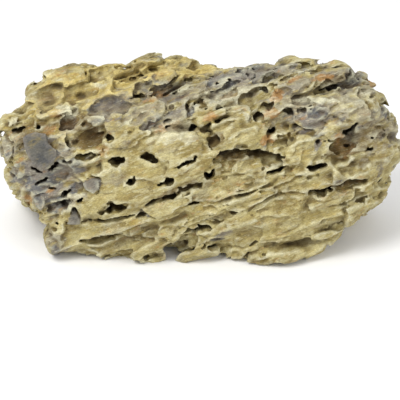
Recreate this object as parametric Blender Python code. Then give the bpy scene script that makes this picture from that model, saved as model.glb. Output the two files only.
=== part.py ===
"""Dragon stone: one natural piece of weathered, bedded clay rock, lying on its flat underside.

The rock is worked out as a solid field in millimetres, below zero inside the stone and above zero outside it.
A rounded block is pushed in and out by its beds and its broken faces, plates are left standing on it, and
pockets, recesses and holes are taken out of it. The field is then meshed, thinned and cut flat underneath.

+X runs along the stone, +Y from its front to its back and +Z up. The origin is under its middle, on the face
that it rests on.
"""

from math import cos, radians, sin

import bmesh
import bpy
import numpy as np
import openvdb

# Driving dimensions, in millimetres. The outline below gives the length.
BODY_DEPTH = 114.0  # front to back
BODY_TALL = 146.0  # of the rounded block, before its underside is cut flat
BODY_MIDDLE = 57.0  # height of the block's middle over the resting face
BODY_ROUND = 3.2  # 2 is an ellipse, more is squarer
BODY_TAPER = 158.0  # half the length at which the block's ends would close
BACK_WANDER = 0.36  # how far the back bulges and falls in, as a share of half the depth
OUTLINE_ROUND = 12.0  # how softly the outline turns into the front and the back
MIDDLE_X, MIDDLE_Y = 0.8, 6.7  # from the block's own middle to the finished stone's
POINTED = 0.6  # how pointed the ends of a hollow are: 0 is an ellipse

STEP = 2.2  # grid spacing of the field
TRIANGLES = 9400
MM = 0.001

# The face of the stone is described as it's seen from in front and VIEW degrees above the horizon: "across"
# runs along the stone, "up" runs up the seen face from its lowest point, and INTO points away from the eye.
VIEW = radians(28)
FACE_FOOT = 22.0  # how far the front foot of the stone lies below the origin, measured up the face
ACROSS = np.array([1.0, 0.0, 0.0])
UP = np.array([0.0, sin(VIEW), cos(VIEW)])
INTO = np.array([0.0, cos(VIEW), -sin(VIEW)])

# The beds dip across the face: GRAIN runs along them, and BEDDING is square to them.
DIP = radians(20)
GRAIN = cos(DIP) * ACROSS + sin(DIP) * UP
BEDDING = cos(DIP) * UP - sin(DIP) * ACROSS

# (across, up) round the face, clockwise from the left foot.
OUTLINE = (
    (-99, 2), (-108, 5), (-110, 16), (-112, 27), (-114, 36), (-120, 40), (-128, 42), (-135, 50), (-138, 65),
    (-142, 81), (-142, 90), (-139, 94), (-140, 103), (-136, 105), (-127, 106), (-125, 114), (-122, 126),
    (-112, 127), (-109, 135), (-96, 140), (-91, 143), (-79, 143), (-72, 141), (-67, 145), (-61, 145),
    (-56, 139), (-50, 140), (-41, 145), (-27, 150), (-14, 153), (0, 152), (10, 146), (22, 148), (35, 144),
    (45, 147), (58, 151), (71, 153), (76, 149), (85, 149), (91, 147), (99, 150), (109, 143), (121, 138),
    (127, 134), (127, 124), (130, 113), (139, 102), (138, 94), (143, 84), (142, 78), (136, 72), (135, 60),
    (127, 48), (108, 29), (87, 16), (65, 4), (45, 0), (-36, -1),
)  # fmt: skip

# Parts of the beds that stand proud: how far, how wide their edge is, and their outline on the face.
SWELLS = (
    (6.5, 1.5, ((4, 96), (16, 102), (29, 104), (42, 96), (44, 88), (37, 82), (27, 84), (20, 79), (10, 81),
        (13, 88))),
    (3.0, 2.0, ((-36, 81), (-25, 94), (0, 93), (2, 81), (-7, 73), (-20, 66), (-32, 76))),
    (5.0, 1.5, ((65, 86), (71, 91), (76, 93), (81, 88), (85, 81), (81, 73), (76, 66), (65, 68), (60, 77))),
    (5.0, 2.0, ((97, 70), (108, 75), (126, 73), (128, 65), (124, 57), (114, 54), (104, 56), (94, 55))),
    (3.5, 2.0, ((81, 119), (94, 117), (102, 114), (127, 119), (130, 106), (120, 96), (104, 101),
        (83, 108))),
    (2.5, 2.0, ((-99, 111), (-91, 114), (-86, 108), (-89, 102), (-98, 101))),
    (5.5, 2.0, ((-101, 9), (-97, 30), (-66, 34), (-44, 40), (-28, 47), (-14, 54), (2, 62), (12, 76),
        (2, 92), (-44, 96), (-66, 84), (-70, 64), (-88, 48), (-109, 27))),
)  # fmt: skip

# The calm stretch of the face, worn smooth with only the beds' fine lines on it.
CALM = (
    (-104, 8), (-96, 34), (-84, 46), (-66, 62), (-64, 84), (-44, 94), (-8, 94), (6, 84), (12, 66), (-10, 48),
    (-34, 38), (-66, 28), (-72, 6),
)  # fmt: skip

# Flat slates: how far they stand proud, how they lean back to the right and to the top (1 being 45 degrees)
# and their outline on the face.
SLATES = (
    (6.0, 0.1, -0.05, ((-126, 89), (-117, 93), (-109, 92), (-108, 85), (-102, 80), (-101, 76), (-104, 71),
        (-111, 66), (-114, 66), (-118, 71), (-123, 78))),
    (2.5, -0.5, 0.1, ((-143, 89), (-140, 91), (-135, 83), (-134, 77), (-138, 72), (-140, 76))),
    (2.5, 0.15, 0.25, ((-96, 27), (-90, 38), (-85, 27))),
    (2.5, -0.05, 0.3, ((-84, 57), (-77, 60), (-71, 59), (-72, 52), (-76, 49), (-82, 52))),
    (2.5, -0.4, 0.15, ((-120, 46), (-112, 48), (-111, 41), (-114, 37), (-118, 40))),
)  # fmt: skip

# Hollows seen on the face: across, up, length, width, slope of the length in degrees, and depth.
POCKETS = (
    (-135, 99, 11, 5, 10, 4), (-108, 117, 26, 15, 25, 8), (-101, 41, 16, 5, 35, 5),
    (-93, 99, 14, 9, 45, 4), (-86, 120, 24, 12, 30, 6), (-72, 134, 18, 8, 30, 6),
    (-63, 111, 28, 13, 22, 5), (-40, 124, 22, 7, 25, 6), (-24, 122, 28, 9, 25, 8),
    (-23, 143, 10, 5, 20, 3), (-1, 143, 16, 7, 15, 4), (12, 132, 16, 8, 25, 5),
    (19, 127, 23, 5, 20, 5), (20, 120, 22, 5, 5, 5), (36, 136, 26, 6, 18, 6),
    (40, 118, 25, 8, 25, 7), (58, 102, 23, 12, 30, 4), (60, 118, 12, 8, 40, 5),
    (72, 141, 16, 6, 25, 3), (92, 134, 22, 9, 15, 4), (109, 132, 15, 6, 35, 5),
    (115, 71, 19, 9, 20, 4), (117, 125, 6, 6, 0, 4), (126, 126, 6, 10, 80, 3),
    (127, 104, 10, 10, 0, 3), (-85, 110, 10, 6, 60, 7), (98, 124, 28, 9, 12, 5),
    (-77, 89, 24, 13, 15, 7),
)  # fmt: skip
RECESSES = (
    (-82, 76, 16, 5, 12, 9), (-73, 16, 25, 7, 14, 9), (-6, 53, 20, 6, 28, 9), (-1, 24, 19, 5, 8, 10),
    (9, 86, 12, 6, 50, 5), (22, 76, 29, 8, 12, 9), (42, 103, 10, 5, 10, 7), (48, 76, 29, 9, -10, 9),
    (49, 112, 12, 6, 15, 7), (54, 134, 26, 5, 20, 6), (88, 52, 26, 5, 8, 11), (101, 86, 28, 12, 4, 8),
    (109, 55, 28, 6, 3, 9), (-20, 49, 44, 4, 27, 8), (-62, 31, 40, 3, 10, 5),
)  # fmt: skip
HOLES = (
    (-130, 94, 10, 3, 20, 11), (-117, 66, 9, 2, -30, 8), (-115, 96, 4, 3, 80, 8), (-114, 58, 12, 2, 30, 5),
    (-106, 53, 7, 2, 5, 5), (-105, 68, 8, 3, 38, 9), (-102, 28, 4, 2, -10, 6), (-96, 50, 8, 4, 35, 11),
    (-94, 71, 6, 4, 20, 9), (-85, 45, 5, 2, 45, 8), (-81, 100, 7, 3, 80, 11), (-69, 130, 5, 3, 0, 8),
    (-64, 89, 5, 4, 20, 8), (-62, 38, 19, 6, 18, 14), (-59, 73, 9, 6, -5, 16), (-48, 58, 7, 4, 15, 14),
    (-42, 119, 13, 3, 8, 9), (-35, 73, 12, 7, -12, 9), (-25, 57, 9, 2, 33, 8), (-22, 58, 6, 4, 30, 12),
    (-22, 47, 10, 4, 20, 13), (-9, 71, 18, 3, 30, 12), (-7, 132, 13, 2, 5, 5), (-5, 96, 6, 4, 10, 9),
    (-5, 42, 10, 2, 5, 8), (7, 63, 9, 6, 20, 16), (50, 94, 6, 4, 20, 14), (56, 66, 16, 3, 18, 12),
    (63, 107, 7, 4, -15, 8), (68, 135, 6, 3, 0, 6), (72, 108, 6, 3, 10, 12), (84, 68, 13, 4, 15, 13),
    (94, 125, 10, 5, 10, 8), (97, 88, 14, 3, 5, 11), (102, 123, 10, 4, 18, 12), (104, 83, 12, 2, 2, 10),
    (106, 95, 12, 7, 35, 15), (120, 81, 6, 2, 12, 7), (123, 89, 6, 2, 10, 7), (130, 59, 5, 3, 50, 8),
)  # fmt: skip

# Weathering all round: how many scoops, their least and most half width, their least and most depth as a
# share of that, and how many of those that would fall on the face are left out.
WEATHERING = (
    (260, 4.0, 8.0, 0.6, 1.0, 0.95),
    (110, 2.5, 4.5, 1.6, 2.6, 1.00),
)

CELLS = 32  # the random lattices repeat after this many cells


def lattice(seed, low=-1.0, high=1.0):
    return np.random.default_rng(seed).uniform(low, high, CELLS**3).astype(np.float32)


def cell_number(i, j, k):
    return i % CELLS * CELLS**2 + j % CELLS * CELLS + k % CELLS


def noise(x, y, z, seed):
    """Smooth noise between -1 and 1, one bump to a unit."""
    values = lattice(seed)
    i, j, k = (np.floor(c).astype(np.int32) for c in (x, y, z))
    u, v, w = (x - i, y - j, z - k)
    u, v, w = (t * t * t * (t * (t * 6 - 15) + 10) for t in (u, v, w))

    def along_k(i, j):
        return values[cell_number(i, j, k)] * (1 - w) + values[cell_number(i, j, k + 1)] * w

    near = along_k(i, j) * (1 - v) + along_k(i, j + 1) * v
    far = along_k(i + 1, j) * (1 - v) + along_k(i + 1, j + 1) * v
    return near * (1 - u) + far * u


def nearest_cell(a, b, c, seed):
    """The nearest point of a jittered lattice: distance squared, the way from it along a and b, and its cell."""
    jitter = [lattice(seed + n, -0.32, 0.32) for n in range(3)]
    corner = [np.floor(t - 0.5).astype(np.int32) for t in (a, b, c)]
    nearest = np.full(a.shape, np.inf, np.float32)
    from_a, from_b = np.zeros_like(nearest), np.zeros_like(nearest)
    found = np.zeros(a.shape, np.int32)
    for offset in np.ndindex(2, 2, 2):
        i, j, k = (first + more for first, more in zip(corner, offset))
        cell = cell_number(i, j, k)
        da = a - (i + 0.5 + jitter[0][cell])
        db = b - (j + 0.5 + jitter[1][cell])
        dc = c - (k + 0.5 + jitter[2][cell])
        distance = da * da + db * db + dc * dc
        nearer = distance < nearest
        nearest[nearer] = distance[nearer]
        from_a[nearer] = da[nearer]
        from_b[nearer] = db[nearer]
        found[nearer] = cell[nearer]
    return nearest, from_a, from_b, found


def broken_faces(a, b, c, seed, step, slope):
    """Flat faces of rock, each at a height and a slope of its own."""
    _, da, db, cell = nearest_cell(a, b, c, seed)
    height, slope_a, slope_b = (lattice(seed + n) for n in (3, 4, 5))
    return height[cell] * step + (da * slope_a[cell] + db * slope_b[cell]) * slope


def scallops(a, b, c, seed, deep, lean):
    """Bowls side by side with sharp ridges between them. Each is deepest under its upper lip."""
    distance, _, db, cell = nearest_cell(a, b, c, seed)
    share = lattice(seed + 3, 0.5, 1.0)
    return ((distance - 0.2) * deep - db * lean) * share[cell]


def outline_distance(across, up, corners):
    """Distance to a closed outline on the face, below zero inside it."""
    nearest = np.full(across.shape, np.inf, np.float32)
    inside = np.zeros(across.shape, bool)
    for (x0, y0), (x1, y1) in zip(corners, corners[1:] + corners[:1]):
        run, rise = x1 - x0, y1 - y0
        t = ((across - x0) * run + (up - y0) * rise) / (run * run + rise * rise)
        t = np.clip(t, 0, 1)
        nearest = np.minimum(nearest, np.hypot(across - x0 - t * run, up - y0 - t * rise))
        if rise:
            inside ^= ((y0 > up) != (y1 > up)) & (across < x0 + (up - y0) / rise * run)
    return np.where(inside, -nearest, nearest)


class FaceMap:
    """A value at each point of the face, worked out once on a half-millimetre net and then looked up."""

    NET = 0.5
    LOW = (-160.0, -30.0)
    HIGH = (160.0, 190.0)

    def __init__(self, work_out):
        net = [np.arange(a, b, self.NET, dtype=np.float32) for a, b in zip(self.LOW, self.HIGH)]
        self.values = work_out(*np.meshgrid(*net, indexing="ij")).astype(np.float32)

    def at(self, across, up):
        cells = []
        for value, low, count in zip((across, up), self.LOW, self.values.shape):
            cells.append(np.clip(np.rint((value - low) / self.NET).astype(np.int32), 0, count - 1))
        return self.values[tuple(cells)]


def ragged(across, up):
    """Wander of a broken edge, in millimetres."""
    flat = np.zeros_like(across)
    return noise(across / 4.5, up / 4.5, flat, 61) * 1.6 + noise(across / 1.8, up / 1.8, flat, 62) * 0.5


def swell_height(across, up):
    height = np.zeros_like(across)
    edge = ragged(across, up)
    for proud, soft, corners in SWELLS:
        height += proud * np.clip(0.5 - (outline_distance(across, up, corners) + edge) / soft, 0, 1)
    return height


def smooth_max(a, b, width):
    share = np.clip(0.5 + 0.5 * (a - b) / width, 0, 1)
    return b + (a - b) * share + width * share * (1 - share)


outline_map = FaceMap(lambda across, up: outline_distance(across, up, OUTLINE))
swell_map = FaceMap(swell_height)
calm_map = FaceMap(lambda across, up: np.clip(0.5 - outline_distance(across, up, CALM) / 10, 0, 1))


def along(direction, x, y, z):
    return x * np.float32(direction[0]) + y * np.float32(direction[1]) + z * np.float32(direction[2])


def back_wander(x, y, z, up):
    """The share by which the back bulges or falls in. It falls in only where that is below the seen crest."""
    swell = noise(x / 58 + 0.5, z / 46, np.zeros_like(x), 74) * BACK_WANDER
    below_crest = np.clip((138 - up) / 25, 0, 1)
    return (y > 0) * np.maximum(swell, swell * below_crest)


def block(x, y, z):
    """The rounded block, held to the outline when it's seen square to the face."""
    up = along(UP, x, y, z) + FACE_FOOT
    taper = np.sqrt(np.clip(1 - np.abs(x / BODY_TAPER) ** 4, 0.05, 1))
    half_deep = BODY_DEPTH / 2 * taper * (1 + back_wander(x, y, z, up))
    deep = np.abs(y / half_deep) ** BODY_ROUND
    tall = np.abs((z - BODY_MIDDLE) / (BODY_TALL / 2)) ** BODY_ROUND
    body = ((deep + tall) ** (1 / BODY_ROUND) - 1) * taper * BODY_DEPTH / 2
    return smooth_max(outline_map.at(x, up), body, OUTLINE_ROUND)


def shingle(beds, lip):
    """Each bed stands proud at its lower lip and falls back towards its top."""
    return ((1 - (beds - np.floor(beds))) ** 1.4 - 0.4) * lip


def calmness(x, y, z):
    """1 where the skin is worn smooth, as on the calm stretch of the face, and 0 where it's broken."""
    g, b, w = (along(d, x, y, z) for d in (GRAIN, BEDDING, INTO))
    elsewhere = np.clip(noise(g / 60, b / 34, w / 50, 11) * 2.2 - 0.35, 0, 1)
    front = np.clip(0.5 - w / 40, 0, 1)
    return elsewhere + (calm_map.at(x, along(UP, x, y, z) + FACE_FOOT) - elsewhere) * front


def relief(x, y, z):
    """Beds, bowls, broken faces and proud parts: how far the rock stands out from the block, or in."""
    g, b, w = (along(d, x, y, z) for d in (GRAIN, BEDDING, INTO))
    lively = 1 - calmness(x, y, z)
    swell = noise(g / 60, b / 30, w / 45, 1) * 4.5 + noise(g / 26, b / 13, w / 22, 2) * 1.6
    wander = noise(g / 48, b / 22, w / 40, 3) * 0.85 + noise(g / 15, b / 9, w / 12, 4) * 0.18
    lip = np.clip(0.55 + noise(g / 40, b / 20, w / 40, 5) * 1.1, 0, 1) * (2 + 6 * lively)
    beds = shingle(b / 26 + wander, lip)
    ga, ba = (noise(g / 8, b / 5, w / 8, seed) for seed in (21, 22))
    faces = broken_faces(g / 36 + ga * 0.06, b / 17 + ba * 0.12, w / 24, 31, 3.8, 5.0)
    front = np.clip(0.5 - w / 40, 0, 1)
    bowls = scallops(g / 25 + ga * 0.08, b / 11 + wander * 0.5 + ba * 0.12, w / 18, 41, 15, 4.5)
    bowls = bowls * (1 - 0.35 * front)
    proud = swell_map.at(x, along(UP, x, y, z) + FACE_FOOT) * front
    return swell + beds + faces * (0.4 + 0.6 * lively) + bowls * (0.08 + 0.92 * lively) + proud


def wall_wander(x, y, z):
    """How the wall of a hollow wanders, in millimetres."""
    g, b, w = (along(d, x, y, z) for d in (GRAIN, BEDDING, INTO))
    return noise(g / 7, b / 3, w / 6, 51) * 1.1 + noise(g / 3.2, b / 1.9, w / 3, 52) * 0.5


def rock(x, y, z):
    """The stone's field before anything is taken out of it."""
    return block(x, y, z) - relief(x, y, z)


def skin_along(start, direction, reach):
    """Where lines from the start points first meet the rock, and whether they do."""
    spots = np.linspace(0, reach, 160)
    lines = start[:, None, :] + spots[None, :, None] * direction[:, None, :]
    x, y, z = (lines[..., axis].astype(np.float32).ravel() for axis in range(3))
    solid = (rock(x, y, z) < 0).reshape(lines.shape[:2])
    return lines[np.arange(len(start)), solid.argmax(1)], solid.any(1)


def on_face(features):
    """The points on the skin that are seen at each feature's place on the face."""
    places = np.array([feature[:2] for feature in features], float)
    start = places[:, :1] * ACROSS + (places[:, 1:] - FACE_FOOT) * UP - 110 * INTO
    return skin_along(start, np.tile(INTO, (len(start), 1)), 220)[0]


def face_axes(slope, tuck):
    """Length, width and depth directions of a hollow on the face. It goes in under its upper lip by tuck."""
    slope, tuck = radians(slope), radians(tuck)
    length = cos(slope) * ACROSS + sin(slope) * UP
    width = cos(slope) * UP - sin(slope) * ACROSS
    return length, cos(tuck) * width - sin(tuck) * INTO, cos(tuck) * INTO + sin(tuck) * width


class Grid:
    """The field on a regular grid of points."""

    LOW = np.array([-156.0, -84.0, -7.0])
    HIGH = np.array([156.0, 84.0, 152.0])
    NEAR = 24.0  # nothing stands further out or in from the block than this

    def __init__(self, step):
        self.step = step
        self.count = np.ceil((self.HIGH - self.LOW) / step).astype(int)
        self.lines = [
            (low + step * np.arange(count)).astype(np.float32) for low, count in zip(self.LOW, self.count)
        ]
        points = np.meshgrid(*self.lines, indexing="ij")
        self.field = block(*points)
        near = np.abs(self.field) < self.NEAR
        points = [c[near] for c in points]
        self.field[near] -= relief(*points)
        self.wander = np.zeros_like(self.field)
        self.wander[near] = wall_wander(*points)

    def region(self, centre, reach):
        """The grid points within reach of centre: their slices and their places from it."""
        low = np.floor((centre - reach - self.LOW) / self.step).astype(int)
        high = np.ceil((centre + reach - self.LOW) / self.step).astype(int) + 1
        part = tuple(slice(max(a, 0), max(b, 0)) for a, b in zip(low, high))
        ends = [line[s] - np.float32(c) for line, s, c in zip(self.lines, part, centre)]
        return part, np.meshgrid(*ends, indexing="ij")

    def scoop(self, centre, axes, radii, rough, seed):
        """Takes out a leaf-shaped hollow, pointed at both ends, with a rough wall."""
        reach = 1.3 * np.sqrt(sum((np.array(axis) * radius) ** 2 for axis, radius in zip(axes, radii)))
        part, place = self.region(centre, reach)
        a, b, c = (along(axis, *place) / np.float32(radius) for axis, radius in zip(axes, radii))
        stretch = radii[0] / radii[1]
        b = b + 0.35 * noise(a * stretch * 0.8, c * 0.7, np.zeros_like(a) + seed % 32, seed + 1)
        away = np.sqrt((1 + 2 * POINTED) * (a * a + c * c) + (np.sqrt(b * b + 0.03) + POINTED) ** 2) - POINTED
        away += rough * noise(a * stretch * 1.3, b * 1.6, c * 1.2, seed)
        cut = (1 - away) * min(radii) + self.wander[part] * min(1.0, min(radii) / 3)
        self.field[part] = np.maximum(self.field[part], cut)

    def slate(self, proud, lean_right, lean_up, corners):
        """Leaves a flat plate standing, cleared in front and with a ragged edge."""
        middle = np.mean(corners, axis=0)
        centre = on_face([middle])[0] - proud * INTO
        part, place = self.region(centre, 34)
        across, up, into = (along(d, *place) for d in (ACROSS, UP, INTO))
        edge = outline_distance(across + middle[0], up + middle[1], corners) + 0.5 * ragged(across, up)
        surface = into - across * lean_right - up * lean_up
        plate = np.maximum(np.maximum(edge, -surface), surface - 14)
        cleared = np.maximum(edge - 1.5, np.maximum(surface - 2.5 * (edge > 0.2), -surface - 14))
        under = outline_distance(across + middle[0], up + middle[1] + 2.6, corners)
        gap = np.maximum(np.maximum(under, 0.3 - edge), np.maximum(surface - 7, -surface - 12))
        self.field[part] = np.maximum(np.maximum(np.minimum(self.field[part], plate), -cleared), -gap)

    def hollow(self, features, tuck, wider, sink, deeper, rough, seed):
        """Takes out hollows that are placed on the face."""
        for n, (centre, feature) in enumerate(zip(on_face(features), features)):
            _, _, length, width, slope, depth = feature
            radii = (length / 2 * wider, width / 2 * wider, depth * deeper)
            self.scoop(centre + INTO * depth * sink, face_axes(slope, tuck), radii, rough, seed + n)

    def weather(self, count, least, most, shallow, deep, spared, rng):
        """Scoops spread over the whole skin, drawn out along the grain."""
        start = rng.normal(size=(count, 3))
        start *= np.array([90, 90, 90]) / np.linalg.norm(start, axis=1, keepdims=True)
        start[:, 0] += rng.uniform(-110, 110, count)
        start[:, 2] += BODY_MIDDLE
        aim = np.stack([start[:, 0] * 0.8, np.zeros(count), np.full(count, BODY_MIDDLE)], 1) - start
        aim /= np.linalg.norm(aim, axis=1, keepdims=True)
        points, found = skin_along(start, aim, 150)
        for point, outward, hit in zip(points, -aim, found):
            half = rng.uniform(least, most)
            depth = half * rng.uniform(shallow, deep)
            long, lift = rng.uniform(1.4, 3.0), rng.uniform(0, 0.35)
            turn, keep = rng.uniform(-0.35, 0.35), rng.random()
            seed = int(rng.integers(1000))
            if not hit or point[2] < 20 or (outward @ INTO < -0.35 and keep < spared):
                continue
            grain = GRAIN - (GRAIN @ outward) * outward
            flat = np.linalg.norm(grain)
            grain /= flat
            across = np.cross(outward, grain)
            down = outward * cos(turn) + across * sin(turn)
            radii = (half * long * (0.5 + 0.5 * flat), half, depth)
            self.scoop(point + outward * lift * depth, (grain, np.cross(down, grain), down), radii, 0.3, seed)

    def blunt(self, reach, spare):
        """Breaks off flakes and tips that are too thin to have lasted."""
        soft = np.clip(self.field, -4, 4)
        for _ in range(round(2 * (reach / self.step) ** 2)):
            for axis in range(3):
                soft = soft * 0.5 + (np.roll(soft, 1, axis) + np.roll(soft, -1, axis)) * 0.25
        self.field = np.maximum(self.field, soft - spare)

    def mesh(self, name):
        """The field's zero surface as a mesh, in metres."""
        field = np.clip(self.field, -10, 10)
        for axis in range(3):
            inner = [slice(None)] * 3
            inner[axis] = slice(1, -1)
            ends = np.roll(field, 1, axis) + np.roll(field, -1, axis)
            field[tuple(inner)] = (field * 0.7 + ends * 0.15)[tuple(inner)]
        volume = openvdb.FloatGrid()
        volume.background = 10.0
        volume.copyFromArray(field)
        points, triangles, quads = volume.convertToPolygons(isovalue=0.0, adaptivity=0.0)
        points = (points * self.step + self.LOW - (MIDDLE_X, MIDDLE_Y, 0)) * MM
        mesh = bpy.data.meshes.new(name)
        mesh.from_pydata(points.tolist(), [], quads.tolist() + triangles.tolist())
        return mesh


def carved(step):
    """The whole stone on a grid."""
    grid = Grid(step)
    rng = np.random.default_rng(7)
    for row in WEATHERING:
        grid.weather(*row, rng)
    for row in SLATES:
        grid.slate(*row)
    grid.hollow(POCKETS, tuck=28, wider=1.35, sink=-0.15, deeper=1.8, rough=0.3, seed=100)
    grid.hollow(RECESSES, tuck=24, wider=1.3, sink=0.1, deeper=1.3, rough=0.3, seed=200)
    grid.hollow(HOLES, tuck=8, wider=1.3, sink=0.1, deeper=1.1, rough=0.35, seed=300)
    grid.blunt(3.0, 0.5)
    grid.blunt(6.0, 1.6)
    return grid


def keep_largest(bm):
    """Deletes every loose piece but the one with the most points."""
    left, largest = set(bm.verts), set()
    while left:
        edge = [left.pop()]
        piece = set(edge)
        while edge:
            for link in edge.pop().link_edges:
                for vert in link.verts:
                    if vert not in piece:
                        piece.add(vert)
                        edge.append(vert)
        left -= piece
        largest = max(largest, piece, key=len)
    bmesh.ops.delete(bm, geom=[v for v in bm.verts if v not in largest], context="VERTS")


def cut_flat(bm, height):
    """Cuts the mesh off flat at a height and closes the cut."""
    everything = bm.verts[:] + bm.edges[:] + bm.faces[:]
    bmesh.ops.bisect_plane(
        bm, geom=everything, dist=1e-7, plane_co=(0, 0, height), plane_no=(0, 0, 1), clear_inner=True
    )
    rim = [edge for edge in bm.edges if edge.is_boundary]
    bmesh.ops.triangle_fill(bm, use_beauty=True, use_dissolve=False, edges=rim, normal=(0, 0, -1))
    bmesh.ops.recalc_face_normals(bm, faces=bm.faces[:])


def rock_material():
    material = bpy.data.materials.new("weathered_clay_rock")
    material.use_nodes = True
    surface = material.node_tree.nodes["Principled BSDF"]
    surface.inputs["Base Color"].default_value = (0.40, 0.34, 0.20, 1.0)
    surface.inputs["Roughness"].default_value = 0.85
    surface.inputs["Metallic"].default_value = 0.0
    return material


def make_stone():
    mesh = carved(STEP).mesh("dragon_stone")
    bm = bmesh.new()
    bm.from_mesh(mesh)
    keep_largest(bm)
    bmesh.ops.triangulate(bm, faces=bm.faces[:])
    bm.to_mesh(mesh)
    share = TRIANGLES / len(mesh.polygons)
    bm.free()

    stone = bpy.data.objects.new("dragon_stone", mesh)
    bpy.context.scene.collection.objects.link(stone)
    thin = stone.modifiers.new("thin", "DECIMATE")
    thin.ratio = share
    graph = bpy.context.evaluated_depsgraph_get()
    thinned = bpy.data.meshes.new_from_object(stone.evaluated_get(graph))
    stone.modifiers.clear()

    bm = bmesh.new()
    bm.from_mesh(thinned)
    cut_flat(bm, 0.0)
    keep_largest(bm)
    bm.to_mesh(thinned)
    bm.free()
    thinned.name = "dragon_stone"
    thinned.shade_smooth()
    thinned.set_sharp_from_angle(angle=radians(38))
    thinned.materials.append(rock_material())
    stone.data = thinned


def main():
    for old in list(bpy.data.objects):
        bpy.data.objects.remove(old)
    make_stone()


main()
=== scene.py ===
"""Dragon stone: a large piece of weathered, bedded clay rock for an aquarium or a terrarium, on a pale floor.

Lengths are in millimetres until a mesh or a light is made, and in metres from there on. "Across" and "up" are
measured on the stone's seen face, which is square to a line from the front, 28 degrees above the horizon.
"""

from math import cos, radians, sin

import bmesh
import bpy
import numpy as np
import openvdb
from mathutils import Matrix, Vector


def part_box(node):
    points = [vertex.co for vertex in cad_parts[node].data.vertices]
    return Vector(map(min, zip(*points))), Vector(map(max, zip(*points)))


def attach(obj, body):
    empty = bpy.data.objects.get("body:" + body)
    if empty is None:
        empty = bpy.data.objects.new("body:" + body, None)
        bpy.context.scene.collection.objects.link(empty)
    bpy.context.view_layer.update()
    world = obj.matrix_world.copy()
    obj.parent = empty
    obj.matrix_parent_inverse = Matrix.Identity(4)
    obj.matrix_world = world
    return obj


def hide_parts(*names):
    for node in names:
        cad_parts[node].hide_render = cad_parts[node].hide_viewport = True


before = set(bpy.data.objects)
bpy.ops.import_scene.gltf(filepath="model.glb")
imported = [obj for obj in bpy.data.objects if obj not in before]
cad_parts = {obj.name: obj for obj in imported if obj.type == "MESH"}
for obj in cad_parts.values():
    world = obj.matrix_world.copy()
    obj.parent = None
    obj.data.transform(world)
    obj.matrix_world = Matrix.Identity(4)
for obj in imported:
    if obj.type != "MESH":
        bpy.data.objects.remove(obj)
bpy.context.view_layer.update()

# ---------------------------------------------------------------------------------------------------------
# The stone's form. One natural block of hardened clay, laid down in thin beds that now dip across its face.
# Water has eaten leaf-shaped hollows and deep holes along the beds, and left thin ridges, overhanging tongues
# and flat slates of harder grey clay standing between them.

MM = 0.001
VIEW = radians(28)
FACE_FOOT = 22.0  # how far the stone's front foot lies below the origin, measured up the face
ACROSS = np.array([1.0, 0.0, 0.0])
UP = np.array([0.0, sin(VIEW), cos(VIEW)])
INTO = np.array([0.0, cos(VIEW), -sin(VIEW)])
DIP = radians(20)
GRAIN = cos(DIP) * ACROSS + sin(DIP) * UP  # along the beds
BEDDING = cos(DIP) * UP - sin(DIP) * ACROSS  # square to them

BODY_DEPTH = 114.0
BODY_TALL = 146.0
BODY_MIDDLE = 57.0  # height of the block's middle over the floor
BODY_ROUND = 3.2  # 2 is an ellipse, more is squarer
BODY_TAPER = 158.0  # half the length at which the block's ends would close
BACK_WANDER = 0.36  # how far the back bulges and falls in, as a share of half the depth
OUTLINE_ROUND = 12.0  # how softly the outline turns into the front and the back
MIDDLE_X, MIDDLE_Y = 0.8, 6.7  # from the block's own middle to the finished stone's

STEP = 1.2  # grid spacing of the solid field
POINTED = 0.6  # how pointed the ends of a hollow are: 0 is an ellipse
MOST_TRIANGLES = 196000

# (across, up) round the face, clockwise from the left foot
OUTLINE = (
    (-99, 2), (-108, 5), (-110, 16), (-112, 27), (-114, 36), (-120, 40), (-128, 42), (-135, 50), (-138, 65),
    (-142, 81), (-142, 90), (-139, 94), (-140, 103), (-136, 105), (-127, 106), (-125, 114), (-122, 126),
    (-112, 127), (-109, 135), (-96, 140), (-91, 143), (-79, 143), (-72, 141), (-67, 145), (-61, 145),
    (-56, 139), (-50, 140), (-41, 145), (-27, 150), (-14, 153), (0, 152), (10, 146), (22, 148), (35, 144),
    (45, 147), (58, 151), (71, 153), (76, 149), (85, 149), (91, 147), (99, 150), (109, 143), (121, 138),
    (127, 134), (127, 124), (130, 113), (139, 102), (138, 94), (143, 84), (142, 78), (136, 72), (135, 60),
    (127, 48), (108, 29), (87, 16), (65, 4), (45, 0), (-36, -1),
)  # fmt: skip

# parts of the beds that stand proud: how far, how wide their edge is, and their outline on the face
SWELLS = (
    (6.5, 1.5, ((4, 96), (16, 102), (29, 104), (42, 96), (44, 88), (37, 82), (27, 84), (20, 79), (10, 81),
        (13, 88))),
    (3.0, 2.0, ((-36, 81), (-25, 94), (0, 93), (2, 81), (-7, 73), (-20, 66), (-32, 76))),
    (5.0, 1.5, ((65, 86), (71, 91), (76, 93), (81, 88), (85, 81), (81, 73), (76, 66), (65, 68), (60, 77))),
    (5.0, 2.0, ((97, 70), (108, 75), (126, 73), (128, 65), (124, 57), (114, 54), (104, 56), (94, 55))),
    (3.5, 2.0, ((81, 119), (94, 117), (102, 114), (127, 119), (130, 106), (120, 96), (104, 101),
        (83, 108))),
    (2.5, 2.0, ((-99, 111), (-91, 114), (-86, 108), (-89, 102), (-98, 101))),
    (5.5, 2.0, ((-101, 9), (-97, 30), (-66, 34), (-44, 40), (-28, 47), (-14, 54), (2, 62), (12, 76),
        (2, 92), (-44, 96), (-66, 84), (-70, 64), (-88, 48), (-109, 27))),
)  # fmt: skip

# the calm stretch of the face, worn smooth with only the beds' fine lines on it
CALM = (
    (-104, 8), (-96, 34), (-84, 46), (-66, 62), (-64, 84), (-44, 94), (-8, 94), (6, 84), (12, 66), (-10, 48),
    (-34, 38), (-66, 28), (-72, 6),
)  # fmt: skip

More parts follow.
